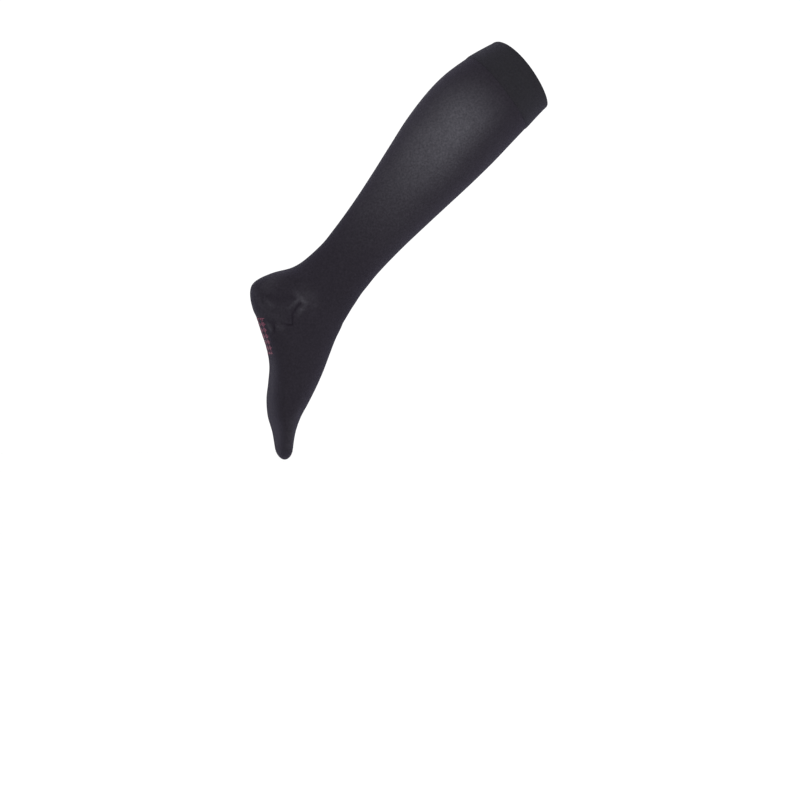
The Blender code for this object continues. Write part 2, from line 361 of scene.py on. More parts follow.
# %% Creases
CREASES = (
    # each row: a line of (run, turn) in millimetres and degrees, then width, height, open and along
    # the pocket's front seam, from its corner down to the sole: a sharp furrow that softens as it goes down,
    # darkened by painted shade
    (((393.8, 88.3), (398.5, 85.0), (403.5, 82.0), (407.5, 78.8)), 0.75, -0.45, -0.36, (0.7, 1.0, 0.9, 0.4)),
    (((407.5, 78.8), (413.5, 77.6), (419.5, 77.2)), 1.1, -0.35, -0.12, (1.0, 0.8, 0.6)),
    # the fold over the corner, lightened by a painted highlight, its arm towards the heel and its foot in
    # front of the seam
    (((384.5, 78.0), (388.0, 84.5), (391.0, 88.5), (392.5, 91.0)), 3.1, 0.55, 0.34, (0.2, 0.6, 1.0, 0.6)),
    (((393.0, 84.5), (398.5, 80.0), (402.5, 75.5)), 2.1, 0.30, 0.20, (0.9, 1.0, 0.3)),
    (((397.5, 90.5), (401.0, 88.8), (406.5, 85.5)), 2.8, 0.45, 0.28, (0.5, 1.0, 0.3)),
    (((378.0, 81.0), (386.0, 88.0)), 6.0, 0.20, 0.08, (0.4, 1.0)),
    (((384.0, 94.0), (392.0, 100.0)), 6.0, 0.10, 0.04, (0.8, 1.0)),
    # the rolled lower lip of the pocket's upper half, a wedge whose painted highlight is brightest at the
    # back
    (((398.5, 43.0), (401.0, 49.0), (402.5, 54.0)), 2.7, 0.45, 0.13, (0.5, 1.0, 0.5)),
    (((402.5, 54.0), (403.0, 66.0), (403.0, 75.0)), 3.2, 0.20, 0.05, (0.7, 0.8, 1.0)),
    (((394.0, 20.0), (403.0, 30.0), (405.5, 44.0)), 4.5, 0.15, 0.08, (1.0, 1.0, 0.6)),
    # the hollow that the lip rolls out of, deepest before the corner and darkened by painted shade
    (((394.0, 36.5), (395.5, 54.0), (394.5, 68.0), (392.0, 78.0)), 4.0, -0.40, -0.04, (0.3, 1.0, 1.0, 0.8)),
    (((409.0, 66.0), (412.5, 73.0)), 3.2, -0.25, -0.05, (0.5, 1.0)),
    # the furrow under the pocket, and the short crease down from it with a puff on each side
    (((420.0, 36.0), (419.5, 52.0)), 1.3, -0.30, -0.06, (1.0, 0.5)),
    (((420.0, 64.0), (420.5, 71.0), (420.5, 77.0)), 1.1, -0.40, -0.13, (0.3, 0.8, 1.0)),
    (((422.5, 31.0), (428.0, 35.0)), 2.8, 0.35, 0.22, (0.8, 1.0)),
    (((423.5, 53.0), (425.5, 60.0)), 3.4, 0.35, 0.13, (1.0, 0.7)),
    (((421.5, 47.0), (426.0, 45.3), (430.5, 43.0)), 1.0, -0.45, -0.22, (0.4, 1.0, 0.7)),
    # the pocket's lower half, the slope above it and the instep beside the ankle, lightened a little: the
    # knit drawn open, and painted highlight
    (((410.0, 25.0), (412.0, 50.0), (412.0, 68.0)), 6.0, 0.0, 0.06, (0.8, 1.0, 0.8)),
    (((372.0, 28.0), (386.0, 38.0)), 9.0, 0.0, 0.12, (0.8, 1.0)),
    (((384.0, 92.0), (400.0, 97.0)), 9.0, 0.0, 0.07, (1.0, 0.3)),
    # the instep's edge of the toe, where the knit turns over the toes, lightened by a painted highlight
    (((512.0, 118.0), (535.0, 104.0), (562.0, 98.0)), 7.0, 0.0, 0.13, (0.3, 1.0, 1.0)),
)
FAR_SIDE = (1.08, 0.92, 1.15, 0.85)

# %% [markdown]
# The stocking is stretched most over the calf, where the black knit opens and looks a shade greyer. The
# lens-shaped patch on each side of the calf is partly that greyer knit and partly a painted highlight, the
# calf's broad sheen painted into the colour. It is a product of two soft bells. The one along the leg ends
# sooner towards the band, which grips, than towards the ankle. The one round the leg has its middle further
# to the back on its way down, but it ends at the same turn towards the shin all the way. Between the band
# and the ankle, the rest of the leg is a shade lighter than the foot.

# %% How far the knit is pulled open, and the calf's painted highlight
SLACK_OPENING = 0.08
LEG_OPENING, LEG_OPENS_OVER = 0.05, 60 * MM
LEG_OPEN_END = 320 * MM
# the calf's patch: partly the greyer knit stretched open, partly a painted highlight
GLOW_PEAK = 0.58
GLOW_MIDDLE = 130 * MM
GLOW_REACH_UP, GLOW_REACH_DOWN = 60 * MM, 90 * MM
GLOW_TURN, GLOW_DRIFT = radians(73), radians(-0.12) / MM
GLOW_SPREAD_BACK, GLOW_FRONT_END = radians(37), radians(109)
SOFT_EDGE, FIRM_EDGE, SHARP_EDGE = 1.8, 2.2, 3.0


def bell(distances, reach, flatness):
    """1 in the middle, falling softly to 0 past the reach, with a flatter top for more flatness."""
    return np.exp(-np.abs(distances / reach) ** flatness)


def opening_and_calf_highlight(runs, turns):
    """How far the knit is pulled open where it lies smooth, with the calf's painted highlight, 0 to 1, for
    arrays of runs and turns.
    """
    down = runs - GLOW_MIDDLE
    along = np.where(down < 0, bell(down, GLOW_REACH_UP, SHARP_EDGE), bell(down, GLOW_REACH_DOWN, SOFT_EDGE))
    middle = GLOW_TURN + GLOW_DRIFT * down
    forward = np.abs(turns) - middle
    to_back = bell(forward, GLOW_SPREAD_BACK, FIRM_EDGE)
    to_front = bell(forward, GLOW_FRONT_END - middle, SHARP_EDGE)
    round_leg = np.where(forward < 0, to_back, to_front)
    on_leg = np.clip(np.minimum(runs - BAND_END, LEG_OPEN_END - runs) / LEG_OPENS_OVER, 0, 1)
    return SLACK_OPENING + LEG_OPENING * on_leg + GLOW_PEAK * along * round_leg


def crease_lines():
    """Every crease as its points on the surface and the rest of its row, on both sides of the leg."""
    for number, (line, width, height, opened_and_painted_light, along) in enumerate(CREASES):
        for side, vary in ((1, 1), (-1, FAR_SIDE[number % len(FAR_SIDE)])):
            points = [worn_point(run * MM, radians(turn) * side) for run, turn in line]
            yield points, width * MM * vary, height * MM * vary, opened_and_painted_light * vary, along


def distance_to_line(places, points):
    """How far each place is from a line of points, and how far along the line its nearest point lies."""
    nearest, along = np.full(len(places), np.inf), np.zeros(len(places))
    for k, (start, end) in enumerate(zip(points, points[1:])):
        way = end - start
        share = np.clip((places - start) @ way / (way @ way), 0, 1)
        distance = np.linalg.norm(places - start - np.outer(share, way), axis=1)
        along = np.where(distance < nearest, (k + share) / (len(points) - 1), along)
        nearest = np.minimum(nearest, distance)
    return nearest, along


def relief(places):
    """The height of the creases at each place, and their tone of open knit and painted light."""
    height, opened_and_painted_light = np.zeros(len(places)), np.zeros(len(places))
    for points, width, rise, crease_opening_and_painted_light, strengths in crease_lines():
        distance, along = distance_to_line(places, points)
        strength = np.interp(along, np.linspace(0, 1, len(strengths)), strengths)
        near = strength * np.exp(-((distance / width) ** 2))
        height += near * rise
        opened_and_painted_light += near * crease_opening_and_painted_light
    return height, opened_and_painted_light


print("creases:", 2 * len(CREASES))

# %% [markdown]
# ## From rows of places to a knitted wall
#
# Cloth is made as rows of (run, column) places with a face between each four of them. The rows of a patch
# may start and end on a curved edge, so patches share their points along a seam, and merging the doubles
# joins them. The UV map counts stitches: across, the columns of the knit, and along, its rows. Because the
# machine has the same number of needles everywhere, the stitches are wide on the calf and narrow at the
# ankle.

# %% Counting stitches
WALES = 260
COURSE = 1.15 * MM
MEASURED_TURNS = np.linspace(-pi, pi, 361)  # one degree apart
measured_rings = {}


def round_share(run, turn):
    """How far round the girth a turn lies, from -0.5 to 0.5, measured along the cloth."""
    key = round(run / MM)
    if key not in measured_rings:
        steps = steps_round(min(key * MM, TOE_TIP - MM), MEASURED_TURNS)
        way = np.concatenate(((0,), np.cumsum(steps)))
        measured_rings[key] = way / way[-1] - 0.5
    whole_turns = round(turn / (2 * pi))
    return float(np.interp(turn - whole_turns * 2 * pi, MEASURED_TURNS, measured_rings[key])) + whole_turns


print(f"{WALES} needles: a stitch is {girth(MEASURED_AT['calf']) / WALES / MM:.2f} mm wide on the calf")

# %% Helpers for knitted cloth
MERGE = 0.01 * MM


def spaced(start, end, step):
    """Values from start to end, about a step apart, both ends included."""
    return np.linspace(start, end, max(round(abs(end - start) / step), 1) + 1)


def graded(*stretches):
    """Values along stretches of (start, end, step) that meet, each stretch with its own step."""
    return np.unique(np.concatenate([spaced(*stretch) for stretch in stretches]))


def patch(columns, first, last, step):
    """Rows of (run, column) from one edge to another, about a step apart."""
    starts = np.array([first(column) for column in columns])
    ends = np.array([last(column) for column in columns])
    count = max(round(float((ends - starts).max()) / step), 1)
    return [list(zip(starts + (ends - starts) * k / count, columns)) for k in range(count + 1)]


def faces_between(first, rows, width):
    """The faces between this many rows of points, each so wide, where the first point has this number."""
    corners = [k for r in range(rows - 1) for k in range(first + r * width, first + r * width + width - 1)]
    return [(k, k + width, k + width + 1, k + 1) for k in corners]


def mapped_mesh(name, points, faces, map_name, places):
    """A mesh of these points and faces, with a place for each point as its UV map."""
    mesh = bpy.data.meshes.new(name)
    mesh.from_pydata(points.tolist(), [], faces)
    order = np.array([loop.vertex_index for loop in mesh.loops])
    mesh.uv_layers.new(name=map_name).data.foreach_set("uv", places[order].ravel())
    return mesh


def knit_mesh(name, patches):
    """A mesh of patches of rows, with its stitch counts as the UV map and its tone of open knit and painted
    light as an attribute.
    """
    places, faces = [], []
    for rows in patches:
        faces += faces_between(len(places), len(rows), len(rows[0]))
        places += [(run, drawn_turn(column, run)) for row in rows for run, column in row]
    points = np.array([worn_point(run, turn) for run, turn in places])
    stitches = np.array([(round_share(run, turn) * WALES, run / COURSE) for run, turn in places])
    runs, turns = np.array(places).T
    height, opened_and_painted_light = relief(points)
    mesh = mapped_mesh(name, points, faces, "stitches", stitches)
    for label, values in (("opened_and_painted_light", opened_and_painted_light + opening_and_calf_highlight(runs, turns)), ("height", height)):
        mesh.attributes.new(label, "FLOAT", "POINT").data.foreach_set("value", values)
    return mesh


def crease(mesh):
    """Joins the patches of a mesh and lifts its points by their creases."""
    cloth = bmesh.new()
    cloth.from_mesh(mesh)
    bmesh.ops.remove_doubles(cloth, verts=cloth.verts, dist=MERGE)
    cloth.normal_update()
    height = cloth.verts.layers.float["height"]
    for point, normal in [(vert, vert.normal.copy()) for vert in cloth.verts]:
        point.co += normal * point[height]
    for edge in cloth.edges:
        edge.smooth = not edge.is_boundary
    for face in cloth.faces:
        face.smooth = True
    cloth.to_mesh(mesh)
    cloth.free()
    mesh.attributes.remove(mesh.attributes["height"])


def knitted_piece(name, patches, wall, finish):
    """A piece of cloth: the creased surface, with a wall of the knit's thickness inside it."""
    mesh = knit_mesh(name, patches)
    crease(mesh)
    mesh.materials.append(finish)
    piece = put(name, mesh)
    solid = piece.modifiers.new("wall", "SOLIDIFY")
    solid.thickness = wall
    solid.offset = -1
    area = sum(face.area for face in mesh.polygons)
    print(f"{name}: {len(mesh.vertices)} points, {area:.4f} square metres")
    return piece


# %% [markdown]
# ## The finish of the yarn
#
# Seen close, plain knit is columns of small V shapes: each V is a loop of yarn whose two legs lean together.
# A procedural material can draw that from the stitch counts in the UV map. Inside a stitch, the distance from
# its middle gives two rounded legs, and a wave that slants along each leg parts it from the next row. The
# same height feeds the bump and darkens the gaps between the yarns with painted shade. Where the knit's
# attribute of opening and painted light rises, the colour turns from the yarn's black towards a grey that
# stands for stretched knit and painted highlight, broken up by two noises.

# %% Shader helpers
LEG_SLANT, LEG_ROUNDNESS, ROW_DEPTH = 1.1, 0.6, 0.4
NOISE_DETAIL = 3.0


def add(tree, kind, feeds=(), **settings):
    """Adds a node, sets its options, feeds its inputs by name or number, and returns its outputs."""
    node = tree.nodes.new(kind)
    for option, value in settings.items():
        setattr(node, option, value)
    by_identifier = {socket.identifier: socket for socket in node.inputs}
    for name, value in dict(feeds).items():
        socket = by_identifier[name] if name in by_identifier else node.inputs[name]
        if isinstance(value, bpy.types.NodeSocket):
            tree.links.new(value, socket)
        else:
            socket.default_value = value
    return node.outputs


def maths(tree, operation, *values):
    """Adds a Math node whose inputs are sockets or plain numbers, and returns its output."""
    return add(tree, "ShaderNodeMath", enumerate(values), operation=operation)[0]


def noise(tree, place, scale):
    """A noise between 0 and 1, at a scale in waves a metre."""
    return add(tree, "ShaderNodeTexNoise", {"Vector": place, "Scale": scale, "Detail": NOISE_DETAIL})["Fac"]


def stitch_height(tree):
    """The height of plain knit, 0 to 1, from the UV map that counts stitches."""
    counts = add(tree, "ShaderNodeSeparateXYZ", {0: add(tree, "ShaderNodeUVMap", uv_map="stitches")["UV"]})
    from_middle = maths(tree, "ABSOLUTE", maths(tree, "SUBTRACT", maths(tree, "FRACT", counts["X"]), 0.5))
    legs = maths(tree, "SINE", maths(tree, "MULTIPLY", from_middle, 2 * pi))
    slanted = maths(tree, "ADD", counts["Y"], maths(tree, "MULTIPLY", from_middle, LEG_SLANT))
    rows = maths(tree, "COSINE", maths(tree, "MULTIPLY", slanted, 2 * pi))
    row_relief = maths(tree, "ADD", maths(tree, "MULTIPLY", rows, ROW_DEPTH), 1 - ROW_DEPTH)
    return maths(tree, "MULTIPLY", maths(tree, "POWER", legs, LEG_ROUNDNESS), row_relief)


print("a stitch's legs lean by", LEG_SLANT / 2, "rows from its middle to its edge")

# %% Knit finish
# the second colour is the grey of open knit, and also of the painted highlight
YARN_BUNCHED, YARN_OPEN_AND_HIGHLIGHT = (0.0138, 0.0113, 0.0163, 1), (0.0775, 0.0755, 0.0875, 1)
YARN_SURFACE = {"Roughness": 0.80, "Specular_IOR_Level": 0.025, "Sheen_Weight": 0.06, "Sheen_Roughness": 0.45,
                "Sheen_Tint": (0.66, 0.62, 1.0, 1)}
FLECKS, CLOUDS = 420.0, 38.0
# how strongly each noise breaks up the tone of open knit and painted highlight, and what is left without them
FLECK_SHARE, CLOUD_SHARE, TONE_REST = 0.55, 0.45, 0.5
# how strongly stitches and flecks lighten the colour, with painted shade in the low gaps between the yarns,
# what is left without them, and how far all this counts
STITCH_LIGHT, FLECK_LIGHT, LIGHT_REST, LIGHT_SHARE = 0.5, 0.9, 0.25, 0.75
STITCH_RELIEF, FLECK_RELIEF, BUMP_STRENGTH = 0.22 * MM, 0.6, 0.7


def summed(tree, first, first_share, second, second_share, rest):
    """A share of one socket, a share of another and a rest, added together."""
    shares = maths(tree, "MULTIPLY", first, first_share), maths(tree, "MULTIPLY", second, second_share)
    return maths(tree, "ADD", maths(tree, "ADD", *shares), rest)


def knit_finish(name, bunched=YARN_BUNCHED):
    """Fine black knit: stitches, painted shade in the gaps between the yarns, and a greyer tone where the
    knit is open and where a highlight is painted.
    """
    material, shader = principled(name, **YARN_SURFACE)
    tree = material.node_tree
    place = add(tree, "ShaderNodeTexCoord")["Object"]
    height, flecks, clouds = stitch_height(tree), noise(tree, place, FLECKS), noise(tree, place, CLOUDS)

    broken = summed(tree, flecks, FLECK_SHARE, clouds, CLOUD_SHARE, TONE_REST)
    # the attribute holds how far the knit is open, with painted highlight and painted shade on the creases
    # and the calf
    share = maths(tree, "MULTIPLY", add(tree, "ShaderNodeAttribute", attribute_name="opened_and_painted_light")["Fac"], broken)
    tone = add(tree, "ShaderNodeMix", {"Factor": share, "A": bunched, "B": YARN_OPEN_AND_HIGHLIGHT},
               data_type="RGBA")["Result"]

    # painted shade: the gaps between the yarns, where the stitches are low, darken the colour
    light = summed(tree, height, STITCH_LIGHT, flecks, FLECK_LIGHT, LIGHT_REST)
    shaded = add(tree, "ShaderNodeMix", {"Factor": LIGHT_SHARE, "A": tone, "B": light},
                 data_type="RGBA", blend_type="MULTIPLY")["Result"]
    tree.links.new(shaded, shader.inputs["Base Color"])

    raised = maths(tree, "ADD", height, maths(tree, "MULTIPLY", flecks, FLECK_RELIEF))
    relief_of_yarn = {"Distance": STITCH_RELIEF, "Strength": BUMP_STRENGTH, "Height": raised}
    tree.links.new(add(tree, "ShaderNodeBump", relief_of_yarn)["Normal"], shader.inputs["Normal"])
    return material


leg_finish = knit_finish("leg knit")
band_finish = knit_finish("band knit", bunched=(0.0186, 0.0179, 0.0212, 1))
heel_finish = knit_finish("heel knit", bunched=(0.0145, 0.0122, 0.0173, 1))
toe_finish = knit_finish("toe knit")
print("finishes:", ", ".join(material.name for material in bpy.data.materials if "knit" in material.name))

# %% [markdown]
# ## The leg and foot
#
# On the machine the leg and the foot are one tube, so here they are one piece. Its columns run the whole way
# from the band to the toe. They stand closer beside the heel's front seams, and the rows stand closer round
# the heel, because a mesh can only show a crease that is wider than its faces. The gap for the heel pocket is
# simply left out: the leg ends at the pocket's top edge, two strips of instep go on past it, and the foot
# starts at the pocket's bottom edge.

# %% Leg and foot
UNDER_BAND = 6 * MM
ANKLE_FINE_START = 345 * MM
FOOT_FINE_END = 450 * MM
LEG_WALL = 1.0 * MM
LEG_STEP, ANKLE_STEP, HEEL_STEP, FOOT_STEP = 4.0 * MM, 1.3 * MM, 0.9 * MM, 3.0 * MM
COARSE_COLUMN, FINE_COLUMN = radians(2.4), radians(1.1)
FINE_FROM, FINE_TO = radians(60), radians(108)

left_heel = graded((0, FINE_FROM, COARSE_COLUMN), (FINE_FROM, HEEL_TURN, FINE_COLUMN))
left_instep = graded((HEEL_TURN, FINE_TO, FINE_COLUMN), (FINE_TO, pi, COARSE_COLUMN))
right_instep = -left_instep[::-1]
heel_columns = np.concatenate((-left_heel[:0:-1], left_heel))
all_columns = np.concatenate((right_instep[:-1], heel_columns, left_instep[1:]))


def at(run):
    """An edge that lies at one run all the way round."""
    return lambda column: run


leg_and_foot = knitted_piece("leg_and_foot", [
    patch(all_columns, at(BAND_END - UNDER_BAND), at(ANKLE_FINE_START), LEG_STEP),
    patch(all_columns, at(ANKLE_FINE_START), heel_top, ANKLE_STEP),
    patch(right_instep, heel_top, heel_bottom, HEEL_STEP),
    patch(left_instep, heel_top, heel_bottom, HEEL_STEP),
    patch(all_columns, heel_bottom, at(FOOT_FINE_END), HEEL_STEP),
    patch(all_columns, at(FOOT_FINE_END), at(TOE_SEAM), FOOT_STEP),
], LEG_WALL, leg_finish)

# %% [markdown]
# ## The heel pocket and the toe
#
# The pocket is knitted to and fro on half of the needles with a second yarn, so it is denser and has a tone
# of its own. It fills the gap that the leg and foot leave. The toe goes on from the foot in the same dense
# knit: its rows draw together faster and faster, and the last row has no size, so merging the doubles closes
# the tip.

# %% Heel pocket and toe
HEEL_WALL = TOE_WALL = 1.3 * MM
HEEL_COLUMN_STEP, HEEL_ROW_STEP = radians(1.0), 0.8 * MM
TOE_ROWS = 42

heel_pocket = knitted_piece("heel", [
    patch(spaced(-HEEL_TURN, HEEL_TURN, HEEL_COLUMN_STEP), heel_top, heel_bottom, HEEL_ROW_STEP),
], HEEL_WALL, heel_finish)

toe_runs = [TOE_SEAM + (TOE_TIP - TOE_SEAM) * sin(pi / 2 * k / TOE_ROWS) for k in range(TOE_ROWS + 1)]
toe_rows = [[(run, column) for column in all_columns] for run in toe_runs]
toe = knitted_piece("toe", [toe_rows], TOE_WALL, toe_finish)

# %% [markdown]
# ## A guide for what lies on the knit
#
# The band, the seams and the pattern on the sole all follow the same surface, and Geometry Nodes can look it
# up. So a guide mesh is laid over the whole form, whose UV map holds the place: how far round, and the run.
# It reaches a little past a full turn and a little above the mouth, so that no look-up falls off its edge. It
# is deleted when the pieces are made.

# %% Guide mesh
GUIDE_OVERLAP, GUIDE_COLUMN, GUIDE_ROW = radians(12), radians(1.5), 2 * MM


def guide_mesh():
    """The worn surface with (share of the girth, run) as its UV map."""
    turns = spaced(-pi - GUIDE_OVERLAP, pi + GUIDE_OVERLAP, GUIDE_COLUMN)
    runs = spaced(-GUIDE_ROW, TOE_TIP - MM, GUIDE_ROW)
    points = np.concatenate([worn_ring(run, turns) for run in runs])
    places = np.array([(round_share(run, turn), run) for run in runs for turn in turns])
    mesh = mapped_mesh("guide", points, faces_between(0, len(runs), len(turns)), "place", places)
    mesh.shade_smooth()
    return mesh


guide = put("guide", guide_mesh())
print("guide:", len(guide.data.polygons), "faces")

# %% [markdown]
# ## Building node trees in a script
#
# A Geometry Nodes tree is a list of nodes and the links between them, as a shader's is, so `add` and `maths`
# make its nodes too. The helpers here start a tree with named inputs, make a flat grid, read an object or a
# place on the guide, scale a vector, and end the tree with its finish. The last one runs a tree on an empty
# object and keeps the result as a plain mesh.

# %% Geometry Nodes helpers
SOCKETS = {"object": "NodeSocketObject", "number": "NodeSocketFloat", "count": "NodeSocketInt",
           "material": "NodeSocketMaterial"}


def new_tree(name, inputs):
    """A Geometry Nodes tree with named inputs, and the nodes at its two ends."""
    tree = bpy.data.node_groups.new(name, "GeometryNodeTree")
    tree.interface.new_socket("Geometry", in_out="OUTPUT", socket_type="NodeSocketGeometry")
    for label, kind in inputs.items():
        tree.interface.new_socket(label, in_out="INPUT", socket_type=SOCKETS[kind])
    return tree, tree.nodes.new("NodeGroupInput").outputs, tree.nodes.new("NodeGroupOutput").inputs[0]


def unit_grid(tree, across, along):
    """A flat grid of one metre with this many points each way, and its points' X and Y, -0.5 to 0.5."""
    size = {"Size X": 1.0, "Size Y": 1.0, "Vertices X": across, "Vertices Y": along}
    cell = add(tree, "ShaderNodeSeparateXYZ", {0: add(tree, "GeometryNodeInputPosition")[0]})
    return add(tree, "GeometryNodeMeshGrid", size)["Mesh"], cell["X"], cell["Y"]


def shape_of(tree, thing):
    """The shape of an object that a tree is given."""
    return add(tree, "GeometryNodeObjectInfo", {"Object": thing})["Geometry"]


def on_guide(tree, guide_socket, place):
    """The point and the normal of the guide at a place of (share, run)."""
    uv = add(tree, "GeometryNodeInputNamedAttribute", {"Name": "place"},
             data_type="FLOAT_VECTOR")["Attribute"]
    feeds = {"Mesh": shape_of(tree, guide_socket), "UV Map": uv, "Sample UV": place}
    found = []
    for kind in ("GeometryNodeInputPosition", "GeometryNodeInputNormal"):
        feeds["Value"] = add(tree, kind)[0]
        found.append(add(tree, "GeometryNodeSampleUVSurface", feeds, data_type="FLOAT_VECTOR")["Value"])
    return found


def scaled(tree, vector, size):
    """A vector made longer or shorter."""
    return add(tree, "ShaderNodeVectorMath", {0: vector, "Scale": size}, operation="SCALE")[0]


def end_tree(tree, shape, finish, result):
    """Ends a tree: its shape becomes real and smooth, and gets its finish."""
    for kind in ("GeometryNodeRealizeInstances", "GeometryNodeSetShadeSmooth"):
        shape = add(tree, kind, {"Geometry": shape})[0]
    shape = add(tree, "GeometryNodeSetMaterial", {"Geometry": shape, "Material": finish})[0]
    tree.links.new(shape, result)


def grow(name, tree, **values):
    """Runs a tree with these input values and returns its result as an object with a plain mesh."""
    holder = put(name + " holder", bpy.data.meshes.new(name + " holder"))
    modifier = holder.modifiers.new("nodes", "NODES")
    modifier.node_group = tree
    identifiers = {item.name: item.identifier for item in tree.interface.items_tree if item.in_out == "INPUT"}
    for label, value in values.items():
        modifier[identifiers[label.replace("_", " ")]] = value
    made = bpy.data.meshes.new_from_object(holder.evaluated_get(bpy.context.evaluated_depsgraph_get()))
    bpy.data.objects.remove(holder)
    made.name = name
    print(f"{name}: {len(made.polygons)} faces")
    return put(name, made)


print("sockets:", ", ".join(SOCKETS))

# %% [markdown]
# ## The band
#
# The band is knitted twice as long as it looks, turned over inwards and linked to the leg, so its top edge is
# a soft roll and its lower edge stands proud of the leg. Its cross-section is the same all the way round: a
# thin loop in (run, lift). That makes it a shape that follows a rule. The tree takes a flat grid, reads the
# loop for the points across it and the guide for the points round it, and lifts each along the surface's
# normal. Its runs grow and shrink round the leg by the shares `Lean` and `Bow`, as the lower edge does.

# %% Band profile
BAND_PROFILE = (
    # (run, lift) in millimetres: over the top roll, down the inside, under the edge, up the outside
    (-0.6, 0.2), (0.2, -0.6), (2.0, -0.8), (6.0, -0.9),
    (20.0, -1.0), (30.0, -1.15), (39.5, -1.15), (41.2, -0.7),
    (41.7, -0.1), (41.3, 0.25), (39.8, 0.55), (36.0, 0.80),
    (20.0, 0.85), (5.0, 0.95), (1.9, 1.15), (0.1, 0.95),
)


def profile_curve(name, table):
    """A closed curve through the rows of a table in millimetres."""
    data = bpy.data.curves.new(name, "CURVE")
    spline = data.splines.new("POLY")
    spline.points.add(len(table) - 1)
    for point, (run, lift) in zip(spline.points, table):
        point.co = (run * MM, lift * MM, 0, 1)
    spline.use_cyclic_u = True
    return put(name, data)


band_profile = profile_curve("band profile", BAND_PROFILE)
print("band profile:", len(BAND_PROFILE), "points")

# %% Band tree
tree, given, result = new_tree("turned band", {
    "Guide": "object", "Profile": "object", "Points round": "count", "Points across": "count",
    "Lean": "number", "Bow": "number", "Stitches round": "number", "Stitches across": "number",
    "Merge": "number", "Finish": "material"})
cloth, share, height = unit_grid(tree, given["Points round"], given["Points across"])
way = maths(tree, "ADD", height, 0.5)

loop = shape_of(tree, given["Profile"])
loop = add(tree, "GeometryNodeCurveSplineType", {"Curve": loop}, spline_type="CATMULL_ROM")[0]
loop = add(tree, "GeometryNodeSampleCurve", {"Curves": loop, "Factor": way}, mode="FACTOR")["Position"]
loop = add(tree, "ShaderNodeSeparateXYZ", {0: loop})
kept = 1.0
for name, waves in (("Lean", 1), ("Bow", 2)):
    wave = maths(tree, "COSINE", maths(tree, "MULTIPLY", share, 2 * pi * waves))
    kept = maths(tree, "SUBTRACT", kept, maths(tree, "MULTIPLY", wave, given[name]))
place = add(tree, "ShaderNodeCombineXYZ", {"X": share, "Y": maths(tree, "MULTIPLY", loop["X"], kept)})[0]
point, normal = on_guide(tree, given["Guide"], place)
lift = scaled(tree, normal, loop["Y"])
point = add(tree, "ShaderNodeVectorMath", {0: point, 1: lift}, operation="ADD")[0]

around = maths(tree, "MULTIPLY", share, given["Stitches round"])
across = maths(tree, "MULTIPLY", way, given["Stitches across"])
counts = add(tree, "ShaderNodeCombineXYZ", {"X": around, "Y": across})[0]
cloth = add(tree, "GeometryNodeStoreNamedAttribute", {"Geometry": cloth, "Name": "stitches", "Value": counts},
            data_type="FLOAT2", domain="CORNER")[0]
cloth = add(tree, "GeometryNodeSetPosition", {"Geometry": cloth, "Position": point})[0]
cloth = add(tree, "GeometryNodeMergeByDistance", {"Geometry": cloth, "Distance": given["Merge"]})[0]
end_tree(tree, cloth, given["Finish"], result)
band_tree = tree
print("band tree:", len(tree.nodes), "nodes")

# %% Band
BAND_POINTS_ROUND, BAND_POINTS_ACROSS = 361, 91
BAND_STITCHES_ACROSS = round(2 * BAND_END / COURSE)

band = grow("band", band_tree, Guide=guide, Profile=band_profile, Points_round=BAND_POINTS_ROUND,
            Points_across=BAND_POINTS_ACROSS, Lean=BAND_LEAN, Bow=BAND_BOW, Stitches_round=float(WALES),
            Stitches_across=float(BAND_STITCHES_ACROSS), Merge=MERGE, Finish=band_finish)


def volume(piece):
    """The volume inside a closed piece, below 0 where its faces point inwards."""
    body = bmesh.new()
    body.from_mesh(piece.data)
    inside = body.calc_volume(signed=True)
    body.free()
    return inside


print(f"band volume {volume(band) * 1e6:.1f} cubic centimetres")

# %% [markdown]
# ## Seams of small stitches
#
# The heel pocket's edges, the band's lower edge and the toe are closed with short linking stitches. A stitch
# is modelled once, as one small grain of yarn or two that cross, and repeated along a path. The tree turns
# the path into a curve with points a stitch apart, looks up the surface's normal nearest to each, and sets
# one stitch there, leaning across the path.

# %% One stitch and the paths of the seams
GRAIN_SUBDIVISIONS = 1
LEANING_GRAIN, LEANING = (0.75 * MM, 0.26 * MM, 0.22 * MM), radians(38)
CROSS_GRAIN, CROSSING = (0.80 * MM, 0.22 * MM, 0.22 * MM), radians(50)


def stitch_of(name, size, *grains):
    """One stitch of rounded grains of yarn of one size, each shifted sideways and leaning."""
    mesh = bmesh.new()
    for shift, lean in grains:
        made = bmesh.ops.create_icosphere(mesh, subdivisions=GRAIN_SUBDIVISIONS, radius=1.0)
        for vert in made["verts"]:
            x, y, z = (a * b for a, b in zip(vert.co, size))
            vert.co = (x * cos(lean) - y * sin(lean) + shift, x * sin(lean) + y * cos(lean), z)
    data = bpy.data.meshes.new(name)
    mesh.to_mesh(data)
    mesh.free()
    return put(name, data)


def path_on_form(name, places):
    """A line of edges through (run, turn) places on the worn surface."""
    points = np.array([worn_point(run, turn) for run, turn in places])
    data = bpy.data.meshes.new(name)
    data.from_pydata(points.tolist(), [(k, k + 1) for k in range(len(points) - 1)], [])
    return put(name, data)


def edge_path(edge, columns):
    """The (run, turn) places of an edge, at these columns of the knit."""
    return [(edge(column), drawn_turn(column, edge(column))) for column in columns]


leaning_stitch = stitch_of("leaning stitch", LEANING_GRAIN, (0, LEANING))
cross_stitch = stitch_of("cross stitch", CROSS_GRAIN, (0, CROSSING), (0, -CROSSING))
print("stitch:", len(leaning_stitch.data.polygons), "faces")

# %% Seam tree
SEAM_SEED = 7

